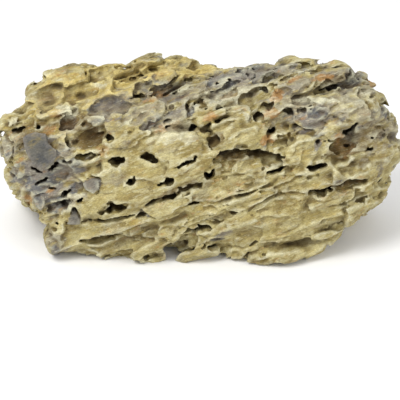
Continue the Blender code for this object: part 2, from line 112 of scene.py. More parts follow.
# stretches of the face where only the fine relief has worn away
WORN = (
    ((104, 58), (136, 62), (142, 84), (136, 102), (120, 98), (108, 88)),
    ((-130, 60), (-126, 46), (-106, 38), (-84, 50), (-80, 66), (-96, 78), (-104, 66)),
    ((60, 122), (84, 121), (112, 118), (124, 124), (118, 136), (96, 141), (72, 134)),
    ((-128, 106), (-122, 124), (-104, 132), (-92, 120), (-98, 106), (-114, 102)),
    ((14, 6), (8, 26), (30, 44), (58, 50), (96, 46), (104, 36), (84, 16), (62, 6)),
)

# flat slates: how far they stand proud, how they lean back to the right and to the top (1 being 45 degrees),
# how grey they are (1 being grey clay and 2 dark slate) and their outline on the face
SLATES = (
    (6.0, 0.1, -0.05, 2.0, ((-126, 89), (-117, 93), (-109, 92), (-108, 85), (-102, 80), (-101, 76),
        (-104, 71), (-111, 66), (-114, 66), (-118, 71), (-123, 78))),
    (2.5, -0.5, 0.1, 0.4, ((-143, 89), (-140, 91), (-135, 83), (-134, 77), (-138, 72), (-140, 76))),
    (2.5, 0.15, 0.25, 1.7, ((-96, 27), (-90, 38), (-85, 27))),
    (2.5, -0.05, 0.3, 1.3, ((-84, 57), (-77, 60), (-71, 59), (-72, 52), (-76, 49), (-82, 52))),
    (2.5, -0.4, 0.15, 1.3, ((-120, 46), (-112, 48), (-111, 41), (-114, 37), (-118, 40))),
)  # fmt: skip

# hollows seen on the face: across, up, length, width, slope of the length in degrees, depth, and how grey
# the clay inside is
POCKETS = (
    (-135, 99, 11, 5, 10, 4, 0.2), (-108, 117, 26, 15, 25, 8, 0.4), (-101, 41, 16, 5, 35, 5, 0.7),
    (-93, 99, 14, 9, 45, 4, 0.9), (-86, 120, 24, 12, 30, 6, 0.3), (-72, 134, 18, 8, 30, 6, 0.3),
    (-63, 111, 28, 13, 22, 5, 0.45), (-40, 124, 22, 7, 25, 6, 0.6), (-24, 122, 28, 9, 25, 8, 0.6),
    (-23, 143, 10, 5, 20, 3, 0.1), (-1, 143, 16, 7, 15, 4, 0.3), (12, 132, 16, 8, 25, 5, 0.9),
    (19, 127, 23, 5, 20, 5, 0.8), (20, 120, 22, 5, 5, 5, 0.3), (36, 136, 26, 6, 18, 6, 1.0),
    (40, 118, 25, 8, 25, 7, 0.2), (58, 102, 23, 12, 30, 4, 0.4), (60, 118, 12, 8, 40, 5, 0.1),
    (72, 141, 16, 6, 25, 3, 0.3), (92, 134, 22, 9, 15, 4, 0.4), (109, 132, 15, 6, 35, 5, 0.8),
    (115, 71, 19, 9, 20, 4, 0.1), (117, 125, 6, 6, 0, 4, 0.0), (126, 126, 6, 10, 80, 3, 0.3),
    (127, 104, 10, 10, 0, 3, 0.5), (-85, 110, 10, 6, 60, 7, 0.4), (98, 124, 28, 9, 12, 5, 0.1),
    (-77, 89, 24, 13, 15, 7, 0.1),
)  # fmt: skip
RECESSES = (
    (-82, 76, 16, 5, 12, 9), (-73, 16, 25, 7, 14, 9), (-6, 53, 20, 6, 28, 9), (-1, 24, 19, 5, 8, 10),
    (9, 86, 12, 6, 50, 5), (22, 76, 29, 8, 12, 9), (42, 103, 10, 5, 10, 7), (48, 76, 29, 9, -10, 9),
    (49, 112, 12, 6, 15, 7), (54, 134, 26, 5, 20, 6), (88, 52, 26, 5, 8, 11), (101, 86, 28, 12, 4, 8),
    (109, 55, 28, 6, 3, 9), (-20, 49, 44, 4, 27, 8), (-62, 31, 40, 3, 10, 5),
)  # fmt: skip
HOLES = (
    (-130, 94, 10, 3, 20, 11), (-117, 66, 9, 2, -30, 8), (-115, 96, 4, 3, 80, 8), (-114, 58, 12, 2, 30, 5),
    (-106, 53, 7, 2, 5, 5), (-105, 68, 8, 3, 38, 9), (-102, 28, 4, 2, -10, 6), (-96, 50, 8, 4, 35, 11),
    (-94, 71, 6, 4, 20, 9), (-85, 45, 5, 2, 45, 8), (-81, 100, 7, 3, 80, 11), (-69, 130, 5, 3, 0, 8),
    (-64, 89, 5, 4, 20, 8), (-62, 38, 19, 6, 18, 14), (-59, 73, 9, 6, -5, 16), (-48, 58, 7, 4, 15, 14),
    (-42, 119, 13, 3, 8, 9), (-35, 73, 12, 7, -12, 9), (-25, 57, 9, 2, 33, 8), (-22, 58, 6, 4, 30, 12),
    (-22, 47, 10, 4, 20, 13), (-9, 71, 18, 3, 30, 12), (-7, 132, 13, 2, 5, 5), (-5, 96, 6, 4, 10, 9),
    (-5, 42, 10, 2, 5, 8), (7, 63, 9, 6, 20, 16), (50, 94, 6, 4, 20, 14), (56, 66, 16, 3, 18, 12),
    (63, 107, 7, 4, -15, 8), (68, 135, 6, 3, 0, 6), (72, 108, 6, 3, 10, 12), (84, 68, 13, 4, 15, 13),
    (94, 125, 10, 5, 10, 8), (97, 88, 14, 3, 5, 11), (102, 123, 10, 4, 18, 12), (104, 83, 12, 2, 2, 10),
    (106, 95, 12, 7, 35, 15), (120, 81, 6, 2, 12, 7), (123, 89, 6, 2, 10, 7), (130, 59, 5, 3, 50, 8),
)  # fmt: skip

# Weathering all round, in rows of scoops: how many, their least and most half width, their least and most
# depth as a share of that, and the share of those on the face that is left out. The fine rows are pits a few
# millimetres wide, which also keep off the worn stretches.
WEATHERING = (
    (260, 4.0, 8.0, 0.6, 1.0, 0.95),
    (110, 2.5, 4.5, 1.6, 2.6, 1.00),
)
FINE_WEATHERING = (
    (700, 1.9, 3.8, 0.5, 1.3, 0.88),
    (1000, 1.2, 2.2, 0.6, 1.5, 0.82),
)

CELLS = 32  # the random lattices repeat after this many cells


def lattice(seed, low=-1.0, high=1.0):
    return np.random.default_rng(seed).uniform(low, high, CELLS**3).astype(np.float32)


def cell_number(i, j, k):
    return i % CELLS * CELLS**2 + j % CELLS * CELLS + k % CELLS


def noise(x, y, z, seed):
    """Smooth noise between -1 and 1, one bump to a unit."""
    values = lattice(seed)
    i, j, k = (np.floor(c).astype(np.int32) for c in (x, y, z))
    u, v, w = (x - i, y - j, z - k)
    u, v, w = (t * t * t * (t * (t * 6 - 15) + 10) for t in (u, v, w))

    def along_k(i, j):
        return values[cell_number(i, j, k)] * (1 - w) + values[cell_number(i, j, k + 1)] * w

    near = along_k(i, j) * (1 - v) + along_k(i, j + 1) * v
    far = along_k(i + 1, j) * (1 - v) + along_k(i + 1, j + 1) * v
    return near * (1 - u) + far * u


def nearest_cell(a, b, c, seed):
    """The nearest point of a jittered lattice: its distance squared, the way from it on a and b, its cell."""
    jitter = [lattice(seed + n, -0.32, 0.32) for n in range(3)]
    corner = [np.floor(t - 0.5).astype(np.int32) for t in (a, b, c)]
    nearest = np.full(a.shape, np.inf, np.float32)
    from_a, from_b = np.zeros_like(nearest), np.zeros_like(nearest)
    found = np.zeros(a.shape, np.int32)
    for offset in np.ndindex(2, 2, 2):
        i, j, k = (first + more for first, more in zip(corner, offset))
        cell = cell_number(i, j, k)
        da = a - (i + 0.5 + jitter[0][cell])
        db = b - (j + 0.5 + jitter[1][cell])
        dc = c - (k + 0.5 + jitter[2][cell])
        distance = da * da + db * db + dc * dc
        nearer = distance < nearest
        nearest[nearer] = distance[nearer]
        from_a[nearer] = da[nearer]
        from_b[nearer] = db[nearer]
        found[nearer] = cell[nearer]
    return nearest, from_a, from_b, found


def broken_faces(a, b, c, seed, step, slope):
    """Flat faces of rock, each at a height and a slope of its own."""
    _, da, db, cell = nearest_cell(a, b, c, seed)
    height, slope_a, slope_b = (lattice(seed + n) for n in (3, 4, 5))
    return height[cell] * step + (da * slope_a[cell] + db * slope_b[cell]) * slope


def scallops(a, b, c, seed, deep, lean):
    """Bowls side by side with sharp ridges between them. Each is deepest under its upper lip."""
    distance, _, db, cell = nearest_cell(a, b, c, seed)
    share = lattice(seed + 3, 0.5, 1.0)
    return ((distance - 0.2) * deep - db * lean) * share[cell]


def outline_distance(across, up, corners):
    """Distance to a closed outline on the face, below zero inside it."""
    nearest = np.full(across.shape, np.inf, np.float32)
    inside = np.zeros(across.shape, bool)
    for (x0, y0), (x1, y1) in zip(corners, corners[1:] + corners[:1]):
        run, rise = x1 - x0, y1 - y0
        t = ((across - x0) * run + (up - y0) * rise) / (run * run + rise * rise)
        t = np.clip(t, 0, 1)
        nearest = np.minimum(nearest, np.hypot(across - x0 - t * run, up - y0 - t * rise))
        if rise:
            inside ^= ((y0 > up) != (y1 > up)) & (across < x0 + (up - y0) / rise * run)
    return np.where(inside, -nearest, nearest)


class FaceMap:
    """A value at each point of the face, worked out once on a half-millimetre net and then looked up."""

    NET = 0.5
    LOW = (-160.0, -30.0)
    HIGH = (160.0, 190.0)

    def __init__(self, work_out):
        net = [np.arange(a, b, self.NET, dtype=np.float32) for a, b in zip(self.LOW, self.HIGH)]
        self.values = work_out(*np.meshgrid(*net, indexing="ij")).astype(np.float32)

    def at(self, across, up):
        cells = []
        for value, low, count in zip((across, up), self.LOW, self.values.shape):
            cells.append(np.clip(np.rint((value - low) / self.NET).astype(np.int32), 0, count - 1))
        return self.values[tuple(cells)]


def ragged(across, up):
    """Wander of a broken edge, in millimetres."""
    flat = np.zeros_like(across)
    return noise(across / 4.5, up / 4.5, flat, 61) * 1.6 + noise(across / 1.8, up / 1.8, flat, 62) * 0.5


def swell_height(across, up):
    height = np.zeros_like(across)
    edge = ragged(across, up)
    for proud, soft, corners in SWELLS:
        height += proud * np.clip(0.5 - (outline_distance(across, up, corners) + edge) / soft, 0, 1)
    return height


def min_of(values):
    """The least of several arrays, point by point."""
    return np.minimum.reduce(list(values))


def smooth_max(a, b, width):
    share = np.clip(0.5 + 0.5 * (a - b) / width, 0, 1)
    return b + (a - b) * share + width * share * (1 - share)


outline_map = FaceMap(lambda across, up: outline_distance(across, up, OUTLINE))
swell_map = FaceMap(swell_height)
calm_map = FaceMap(lambda across, up: np.clip(0.5 - outline_distance(across, up, CALM) / 10, 0, 1))
worn_map = FaceMap(
    lambda across, up: np.clip(0.5 - min_of(outline_distance(across, up, edge) for edge in WORN) / 8, 0, 0.75)
)


def along(direction, x, y, z):
    return x * np.float32(direction[0]) + y * np.float32(direction[1]) + z * np.float32(direction[2])


def in_beds(x, y, z):
    """A place measured along the beds, square to them, and into the face."""
    return (along(direction, x, y, z) for direction in (GRAIN, BEDDING, INTO))


def up_face(x, y, z):
    return along(UP, x, y, z) + FACE_FOOT


def front_share(into):
    """1 towards the seen face and 0 towards the back."""
    return np.clip(0.5 - into / 40, 0, 1)


def bed_wander(g, b, w):
    """How the beds rise and fall, as a share of a bed."""
    return noise(g / 48, b / 22, w / 40, 3) * 0.85 + noise(g / 15, b / 9, w / 12, 4) * 0.18


def back_wander(x, y, z, up):
    """The share by which the back bulges or falls in. It falls in only where that is below the seen crest."""
    swell = noise(x / 58 + 0.5, z / 46, np.zeros_like(x), 74) * BACK_WANDER
    below_crest = np.clip((138 - up) / 25, 0, 1)
    return (y > 0) * np.maximum(swell, swell * below_crest)


def block(x, y, z):
    """The rounded block, held to the outline when it's seen square to the face."""
    up = up_face(x, y, z)
    taper = np.sqrt(np.clip(1 - np.abs(x / BODY_TAPER) ** 4, 0.05, 1))
    half_deep = BODY_DEPTH / 2 * taper * (1 + back_wander(x, y, z, up))
    deep = np.abs(y / half_deep) ** BODY_ROUND
    tall = np.abs((z - BODY_MIDDLE) / (BODY_TALL / 2)) ** BODY_ROUND
    body = ((deep + tall) ** (1 / BODY_ROUND) - 1) * taper * BODY_DEPTH / 2
    return smooth_max(outline_map.at(x, up), body, OUTLINE_ROUND)


def shingle(beds, lip):
    """Each bed stands proud at its lower lip and falls back towards its top."""
    return ((1 - (beds - np.floor(beds))) ** 1.4 - 0.4) * lip


def calmness(x, y, z):
    """1 where the skin is worn smooth, as on the calm stretch of the face, and 0 where it's broken."""
    g, b, w = in_beds(x, y, z)
    elsewhere = np.clip(noise(g / 60, b / 34, w / 50, 11) * 2.2 - 0.35, 0, 1)
    return elsewhere + (calm_map.at(x, up_face(x, y, z)) - elsewhere) * front_share(w)


def wornness(x, y, z):
    """1 where the fine relief has worn away: on calm and worn stretches, and where the face stands proud."""
    front = front_share(along(INTO, x, y, z))
    up = up_face(x, y, z)
    worn = np.maximum(worn_map.at(x, up), np.clip(swell_map.at(x, up) / 3 - 0.2, 0, 0.85)) * front
    return np.maximum(calmness(x, y, z), worn)


def main_relief(x, y, z):
    """Beds, bowls, broken faces and proud parts: how far the rock stands out from the block, or in."""
    g, b, w = in_beds(x, y, z)
    lively = 1 - calmness(x, y, z)
    swell = noise(g / 60, b / 30, w / 45, 1) * 4.5 + noise(g / 26, b / 13, w / 22, 2) * 1.6
    wander = bed_wander(g, b, w)
    lip = np.clip(0.55 + noise(g / 40, b / 20, w / 40, 5) * 1.1, 0, 1) * (2 + 6 * lively)
    beds = shingle(b / 26 + wander, lip)
    ga, ba = (noise(g / 8, b / 5, w / 8, seed) for seed in (21, 22))
    faces = broken_faces(g / 36 + ga * 0.06, b / 17 + ba * 0.12, w / 24, 31, 3.8, 5.0)
    front = front_share(w)
    bowls = scallops(g / 25 + ga * 0.08, b / 11 + wander * 0.5 + ba * 0.12, w / 18, 41, 15, 4.5)
    bowls = bowls * (1 - 0.35 * front)
    proud = swell_map.at(x, up_face(x, y, z)) * front
    return swell + beds + faces * (0.4 + 0.6 * lively) + bowls * (0.08 + 0.92 * lively) + proud


def fine_relief(x, y, z):
    """Thin leaves within the beds, and small broken faces on them. It mostly cuts in."""
    g, b, w = in_beds(x, y, z)
    wander = bed_wander(g, b, w)
    lip = np.clip(0.3 + noise(g / 22, b / 12, w / 22, 6) * 1.1, 0, 1) * 1.8
    leaves = shingle(b / 9.5 + wander * 2.2 + noise(g / 9, b / 5, w / 9, 9) * 0.35, lip)
    ga, ba = (noise(g / 5, b / 3, w / 5, seed) for seed in (23, 24))
    faces = broken_faces(g / 12 + ga * 0.12, b / 7 + ba * 0.2, w / 9, 51, 1.0, 1.6)
    dishes = scallops(g / 21 + ga * 0.08, b / 9 + ba * 0.14, w / 15, 65, 8.0, 3.0)
    bowls = scallops(g / 8 + ga * 0.1, b / 4 + ba * 0.2, w / 6, 61, 1.3, 0.5)
    lumps = noise(g / 12, b / 6, w / 9, 7) * 0.4 + noise(g / 4.5, b / 2.6, w / 4, 8) * 0.2
    worn = wornness(x, y, z)
    cut_up = (leaves + dishes + bowls) * (1 - 0.3 * front_share(w))
    return cut_up * (1 - 0.92 * worn) + (faces + lumps) * (1 - 0.7 * worn) - 0.7


def wall_wander(x, y, z):
    """How the wall of a hollow wanders, in millimetres."""
    g, b, w = in_beds(x, y, z)
    return noise(g / 7, b / 3, w / 6, 51) * 1.1 + noise(g / 3.2, b / 1.9, w / 3, 52) * 0.5


def rock(x, y, z):
    """The stone's field before anything is taken out of it: below zero inside."""
    return block(x, y, z) - main_relief(x, y, z)


def skin_along(start, direction, reach):
    """Where lines from the start points first meet the rock, and whether they do."""
    spots = np.linspace(0, reach, 160)
    lines = start[:, None, :] + spots[None, :, None] * direction[:, None, :]
    x, y, z = (lines[..., axis].astype(np.float32).ravel() for axis in range(3))
    solid = (rock(x, y, z) < 0).reshape(lines.shape[:2])
    return lines[np.arange(len(start)), solid.argmax(1)], solid.any(1)


def on_face(features):
    """The points on the skin that are seen at each feature's place on the face."""
    before = 110.0  # the lines into the rock start this far in front of its middle
    places = np.array([feature[:2] for feature in features], float)
    start = places[:, :1] * ACROSS + (places[:, 1:] - FACE_FOOT) * UP - before * INTO
    return skin_along(start, np.tile(INTO, (len(start), 1)), 2 * before)[0]


def face_axes(slope, tuck):
    """Length, width and depth directions of a hollow on the face. It goes in under its upper lip by tuck."""
    slope, tuck = radians(slope), radians(tuck)
    length = cos(slope) * ACROSS + sin(slope) * UP
    width = cos(slope) * UP - sin(slope) * ACROSS
    return length, cos(tuck) * width - sin(tuck) * INTO, cos(tuck) * INTO + sin(tuck) * width


class CarvedBlock:
    """The stone's field on a regular grid of points, with how grey the clay is at each."""

    LOW = np.array([-156.0, -84.0, -7.0])
    HIGH = np.array([156.0, 84.0, 152.0])
    NEAR = 24.0  # nothing stands further out or in from the block than this
    AROUND = 90.0  # scoops are aimed from this far round the stone's long axis
    ALONG = 110.0  # and from as far along it as this, to both sides
    FOOT = 20.0  # they keep off the stone's foot, below this height
    PLATE = 14.0  # how thick a slate is, back into the rock

    def __init__(self, step):
        self.step = step
        self.count = np.ceil((self.HIGH - self.LOW) / step).astype(int)
        self.lines = [
            (low + step * np.arange(count)).astype(np.float32) for low, count in zip(self.LOW, self.count)
        ]
        points = np.meshgrid(*self.lines, indexing="ij")
        self.field = block(*points)
        near = np.abs(self.field) < self.NEAR
        points = [c[near] for c in points]
        self.field[near] -= main_relief(*points) + fine_relief(*points)
        self.wander = np.zeros_like(self.field)
        self.wander[near] = wall_wander(*points)
        self.grey = np.zeros_like(self.field)

    def region(self, centre, reach):
        """The grid points within reach of centre: their slices and their places from it."""
        low = np.floor((centre - reach - self.LOW) / self.step).astype(int)
        high = np.ceil((centre + reach - self.LOW) / self.step).astype(int) + 1
        part = tuple(slice(max(a, 0), max(b, 0)) for a, b in zip(low, high))
        ends = [line[s] - np.float32(c) for line, s, c in zip(self.lines, part, centre)]
        return part, np.meshgrid(*ends, indexing="ij")

    def tint(self, part, cut, grey):
        """Gives the new wall its own share of grey clay."""
        wall = cut > self.field[part] - 0.8
        self.grey[part] = np.where(wall, grey, self.grey[part])

    def scoop(self, centre, axes, radii, rough, seed, grey=0.0, lip=0.0):
        """Takes out a leaf-shaped hollow, pointed at both ends, with a rough wall and a thin raised lip."""
        reach = 1.3 * np.sqrt(sum((np.array(axis) * radius) ** 2 for axis, radius in zip(axes, radii)))
        part, place = self.region(centre, reach)
        a, b, c = (along(axis, *place) / np.float32(radius) for axis, radius in zip(axes, radii))
        stretch = radii[0] / radii[1]
        b = b + 0.35 * noise(a * stretch * 0.8, c * 0.7, np.zeros_like(a) + seed % 32, seed + 1)
        away = np.sqrt((1 + 2 * POINTED) * (a * a + c * c) + (np.sqrt(b * b + 0.03) + POINTED) ** 2) - POINTED
        away += rough * noise(a * stretch * 1.3, b * 1.6, c * 1.2, seed)
        cut = (1 - away) * min(radii) + self.wander[part] * min(1.0, min(radii) / 3)
        self.tint(part, cut, grey)
        rim = np.exp(-(((cut + 1.0) / 1.6) ** 2)) * np.clip(1 - np.abs(self.field[part]) / 6, 0, 1)
        self.field[part] = np.maximum(self.field[part] - lip * rim, cut)

    def slate(self, proud, lean_right, lean_up, grey, corners):
        """Leaves a flat plate standing, cleared in front and with a ragged edge."""
        middle = np.mean(corners, axis=0)
        centre = on_face([middle])[0] - proud * INTO
        part, place = self.region(centre, 34)
        across, up, into = (along(d, *place) for d in (ACROSS, UP, INTO))
        edge = outline_distance(across + middle[0], up + middle[1], corners) + 0.3 * ragged(across, up)
        chipped = broken_faces(across / 11 + 7, up / 7 + 7, into / 40 + 7, 75, 0.45, 0.8)
        surface = into - across * lean_right - up * lean_up + chipped
        plate = np.maximum(np.maximum(edge, -surface), surface - self.PLATE)
        cleared = np.maximum(edge - 1.5, np.maximum(surface - 2.5 * (edge > 0.2), -surface - self.PLATE))
        under = outline_distance(across + middle[0], up + middle[1] + 2.6, corners)
        gap = np.maximum(np.maximum(under, 0.3 - edge), np.maximum(surface - 7, -surface - 12))
        self.grey[part] = np.where((edge < 0.5) & (abs(surface) < 3), grey, self.grey[part])
        self.field[part] = np.maximum(np.maximum(np.minimum(self.field[part], plate), -cleared), -gap)

    def hollow(self, features, tuck, wider, sink, deeper, rough, seed, lip):
        """Takes out hollows that are placed on the face."""
        for n, (centre, feature) in enumerate(zip(on_face(features), features)):
            _, _, length, width, slope, depth, grey = (*feature, 0.0)[:7]
            radii = (length / 2 * wider, width / 2 * wider, depth * deeper)
            start = centre + INTO * depth * sink
            self.scoop(start, face_axes(slope, tuck), radii, rough, seed + n, grey, lip)

    def weather(self, count, least, most, shallow, deep, spared, rng, fine=False):
        """Scoops over the whole skin, drawn out along the grain. Fine ones keep off the worn stretches."""
        start = rng.normal(size=(count, 3))
        start *= self.AROUND / np.linalg.norm(start, axis=1, keepdims=True)
        start[:, 0] += rng.uniform(-self.ALONG, self.ALONG, count)
        start[:, 2] += BODY_MIDDLE
        aim = np.stack([start[:, 0] * 0.8, np.zeros(count), np.full(count, BODY_MIDDLE)], 1) - start
        aim /= np.linalg.norm(aim, axis=1, keepdims=True)
        points, found = skin_along(start, aim, 150)
        worn = wornness(*points.astype(np.float32).T) * fine
        for point, outward, hit, smooth in zip(points, -aim, found, worn):
            half = rng.uniform(least, most)
            depth = half * rng.uniform(shallow, deep)
            long, lift = rng.uniform(1.4, 3.0), rng.uniform(0, 0.35)
            turn, keep = rng.uniform(-0.35, 0.35), rng.random()
            seed = int(rng.integers(1000))
            seen = outward @ INTO < -0.35
            if not hit or point[2] < self.FOOT or keep < smooth or (seen and keep < spared):
                continue
            grain = GRAIN - (GRAIN @ outward) * outward
            flat = np.linalg.norm(grain)
            grain /= flat
            across = np.cross(outward, grain)
            down = outward * cos(turn) + across * sin(turn)
            radii = (half * long * (0.5 + 0.5 * flat), half, depth)
            grey = max(0.0, keep * 1.8 - 0.9) if half > 2.5 else 0.0
            axes = (grain, np.cross(down, grain), down)
            self.scoop(point + outward * lift * depth, axes, radii, 0.3, seed, grey)

    def softened(self, reach):
        """The field near the skin, averaged over this many millimetres."""
        soft = np.clip(self.field, -4, 4)
        for _ in range(round(2 * (reach / self.step) ** 2)):
            for axis in range(3):
                soft = soft * 0.5 + (np.roll(soft, 1, axis) + np.roll(soft, -1, axis)) * 0.25
        return soft

    def blunt(self, reach, spare):
        """Breaks off flakes and tips that are too thin to have lasted."""
        self.field = np.maximum(self.field, self.softened(reach) - spare)

    def sharpen(self, reach, strength):
        """Draws out the ridges and deepens the creases between them."""
        near = np.clip(self.field, -4, 4)
        self.field = self.field + (near - self.softened(reach)) * strength

    def bed_down(self):
        """The underside: flat where it bears, and a little hollow between."""
        x, y = np.meshgrid(self.lines[0], self.lines[1], indexing="ij")
        flat = np.zeros_like(x)
        hollow = noise(x / 30, y / 18, flat, 71) * 3 + noise(x / 9, y / 6, flat, 72) * 1.4 + 0.6
        floor = np.clip(hollow, 0, None)[:, :, None] - self.lines[2][None, None, :]
        self.field = np.maximum(self.field, floor)

    def solid_share(self, radius):
        """The share of solid rock in a cube of this half width round each grid point."""
        reach = max(1, round(radius / self.step))
        share = (self.field < 0).astype(np.float32)
        for axis in range(3):
            margin = [(reach + 1, reach) if n == axis else (0, 0) for n in range(3)]
            total = np.cumsum(np.pad(share, margin), axis)
            ahead = np.take(total, range(2 * reach + 1, total.shape[axis]), axis)
            share = (ahead - np.take(total, range(total.shape[axis] - 2 * reach - 1), axis)) / (2 * reach + 1)
        return share

    def at_points(self, values, points):
        """Values of the grid at points, in millimetres."""
        place = (points - self.LOW) / self.step
        low = np.clip(np.floor(place).astype(int), 0, self.count - 2)
        part = place - low
        out = np.zeros(len(points))
        for corner in np.ndindex(2, 2, 2):
            share = np.prod(np.where(corner, part, 1 - part), axis=1)
            out += share * values[tuple((low + corner).T)]
        return out

    def mesh(self, name):
        """The field's zero surface as a mesh, in metres."""
        volume = openvdb.FloatGrid()
        volume.background = 10.0
        volume.copyFromArray(np.clip(self.field, -10, 10))
        points, triangles, quads = volume.convertToPolygons(isovalue=0.0, adaptivity=0.0)
        points = (points * self.step + self.LOW) * MM
        mesh = bpy.data.meshes.new(name)
        mesh.from_pydata(points.tolist(), [], quads.tolist() + triangles.tolist())
        return mesh


def keep_largest(bm):
    """Deletes every loose piece but the one with the most points."""
    left, largest = set(bm.verts), set()
    while left:
        edge = [left.pop()]
        piece = set(edge)
        while edge:
            for link in edge.pop().link_edges:
                for vert in link.verts:
                    if vert not in piece:
                        piece.add(vert)
                        edge.append(vert)
        left -= piece
        largest = max(largest, piece, key=len)
    bmesh.ops.delete(bm, geom=[v for v in bm.verts if v not in largest], context="VERTS")


carved = CarvedBlock(STEP)
rng = np.random.default_rng(7)
for row in WEATHERING:
    carved.weather(*row, rng)
for row in FINE_WEATHERING:
    carved.weather(*row, rng, fine=True)
carved.hollow(POCKETS, tuck=28, wider=1.35, sink=-0.15, deeper=1.8, rough=0.3, seed=100, lip=1.3)
carved.hollow(RECESSES, tuck=24, wider=1.3, sink=0.1, deeper=1.3, rough=0.3, seed=200, lip=1.0)
carved.hollow(HOLES, tuck=8, wider=1.3, sink=0.1, deeper=1.1, rough=0.45, seed=300, lip=0.5)
carved.blunt(reach=1.7, spare=1.1)
carved.sharpen(reach=1.7, strength=0.6)
carved.blunt(reach=6.0, spare=1.6)
for row in SLATES:
    carved.slate(*row)
carved.blunt(reach=1.7, spare=1.4)
carved.bed_down()

stone_mesh = carved.mesh("stone")
bm = bmesh.new()
bm.from_mesh(stone_mesh)
keep_largest(bm)
bmesh.ops.triangulate(bm, faces=bm.faces[:])
bm.to_mesh(stone_mesh)
bm.free()
stone = bpy.data.objects.new("stone", stone_mesh)
bpy.context.scene.collection.objects.link(stone)
thin = stone.modifiers.new("thin", "DECIMATE")
thin.ratio = min(1.0, MOST_TRIANGLES / len(stone_mesh.polygons))
graph = bpy.context.evaluated_depsgraph_get()
stone_mesh = bpy.data.meshes.new_from_object(stone.evaluated_get(graph))
stone.modifiers.clear()
stone.data = stone_mesh

# ---------------------------------------------------------------------------------------------------------
# What colours the stone. Each point of its skin carries how far it stands on a crest or lies in a hollow, and
# how much grey clay, ochre, rust, brown earth with painted shade, and pale lime it holds. Cool stretches are
# greyer all over.

# patches on the face: across, up, length, width, slope in degrees and strength
GREY_CLAY = (
    (-112, 58, 42, 28, -60, 0.95), (-97, 66, 36, 15, 12, 0.8), (-130, 62, 16, 10, -60, 0.7),
    (-90, 53, 9, 6, 60, 0.9), (-105, 8, 10, 8, 70, 0.8), (-53, 83, 14, 6, 25, 0.5),
    (-62, 112, 24, 12, 25, 0.65), (-18, 105, 15, 7, 15, 0.5), (-7, 106, 9, 5, 20, 0.7),
    (-37, 39, 10, 7, 30, 0.4), (81, 104, 34, 15, 45, 0.8), (83, 83, 11, 5, 75, 0.9), (98, 57, 8, 4, 10, 0.7),
    (129, 66, 12, 7, 70, 0.6), (130, 90, 10, 6, 60, 0.5), (16, 131, 26, 9, 20, 0.7),
    (37, 136, 24, 10, 25, 0.9), (55, 139, 24, 8, 25, 0.7), (88, 144, 10, 5, 20, 0.7),
    (112, 132, 16, 9, 45, 0.8), (126, 138, 8, 7, 60, 0.6), (131, 108, 8, 10, 0, 0.6), (138, 90, 9, 8, 0, 0.6),
    (-28, 124, 44, 13, 20, 0.55), (62, 104, 14, 6, 30, 0.5),
)  # fmt: skip
RUST = (
    (-129, 73, 8, 4, 30, 0.7), (-107, 52, 8, 4, 20, 0.8), (-102, 106, 12, 6, 20, 0.7),
    (-107, 94, 12, 7, 20, 0.6), (-125, 45, 9, 7, -50, 0.9), (-68, 79, 14, 8, -30, 0.6),
    (-22, 97, 22, 7, 15, 0.8), (7, 104, 13, 7, 15, 0.8), (55, 119, 14, 8, 30, 1.0), (51, 106, 16, 8, 15, 0.8),
    (48, 88, 11, 8, 20, 1.0), (87, 132, 18, 5, 5, 0.8), (20, 118, 16, 5, 15, 0.6), (-30, 118, 18, 5, 20, 0.6),
    (66, 130, 14, 4, 25, 0.7), (126, 128, 8, 10, 60, 0.7), (99, 90, 9, 5, 15, 0.8), (103, 82, 20, 10, 5, 0.4),
    (115, 60, 8, 5, 30, 0.5), (104, 75, 5, 3, 20, 0.5),
)  # fmt: skip
COOL = (
    (-62, 108, 46, 28, 20, 0.9), (-22, 112, 64, 30, 18, 0.9), (34, 130, 100, 28, 12, 1.0),
    (84, 116, 74, 48, 10, 0.9), (-108, 62, 60, 54, -40, 1.0), (120, 96, 44, 60, 60, 0.8),
    (-134, 84, 20, 30, 80, 0.7), (-60, 60, 26, 12, 20, 0.5), (-14, 84, 30, 12, 20, 0.5),
    (118, 128, 30, 24, 30, 0.9), (-104, 14, 18, 20, 60, 0.7),
)  # fmt: skip
# brown patches: earth, with painted shade where hollows and ledges lie in shadow
EARTH_AND_SHADE = (
    (-77, 88, 26, 16, 15, 1.0), (-90, 99, 40, 17, -5, 0.75), (122, 92, 28, 18, 25, 0.5),
    (-122, 92, 22, 14, 20, 0.6), (-88, 97, 12, 8, 40, 0.6), (-115, 97, 16, 7, 20, 0.6),
    (104, 80, 32, 13, 6, 0.9), (12, 87, 14, 9, 45, 0.8), (30, 76, 34, 8, 8, 0.7), (-30, 122, 26, 7, 25, 0.5),
    (52, 103, 16, 8, 20, 0.5), (100, 56, 34, 6, 6, 0.7), (96, 131, 24, 8, 12, 0.6), (-20, 50, 40, 5, 24, 0.8),
    (-134, 100, 12, 5, 10, 0.7),
)  # fmt: skip
LIME = (
    (-92, 107, 12, 9, 30, 0.8), (-71, 126, 16, 5, -10, 0.7), (-50, 100, 8, 3, 10, 0.8),
    (33, 104, 10, 4, -60, 0.9), (45, 124, 8, 3, 5, 0.9), (86, 115, 36, 5, -2, 0.8), (116, 69, 15, 7, 10, 0.6),
    (-136, 100, 8, 5, 0, 0.5), (-18, 92, 40, 18, 12, 0.6), (20, 118, 40, 16, 15, 0.55),
    (-97, 109, 16, 10, 0, 0.6), (110, 116, 30, 12, 20, 0.4),
)  # fmt: skip
OCHRE = (
    (-70, 126, 96, 34, 5, 0.9), (-25, 138, 80, 20, 5, 0.9), (-110, 114, 36, 22, 20, 0.8),
    (73, 76, 14, 12, 20, 0.5), (-95, 90, 20, 14, 0, 0.4),
)  # fmt: skip


